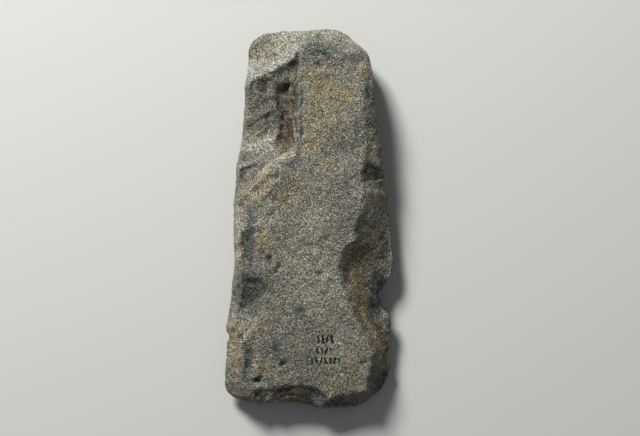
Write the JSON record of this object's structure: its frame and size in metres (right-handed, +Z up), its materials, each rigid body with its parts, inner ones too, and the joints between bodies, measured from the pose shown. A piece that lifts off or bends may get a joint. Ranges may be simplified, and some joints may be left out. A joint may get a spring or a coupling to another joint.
{
  "type": "stone axe-hoe blade",
  "caption": "Chipped stone axe-hoe blade, long and flat, with a narrow butt, a wide rounded bit and large flake scars.",
  "frame": {"origin": "middle of the underside, below the centre of the blade's box", "axes": "+Y from the wide bit to the narrow butt, +X to the right seen from above, +Z up from the flat underside"},
  "size_m": [0.0564, 0.127, 0.0185],
  "materials": {
    "andesite": "rough weathered grey-brown andesite, chipped, with brown soil in its hollows"
  },
  "bodies": {
    "root": {"axe_hoe_blade": "andesite"}
  },
  "joints": []
}
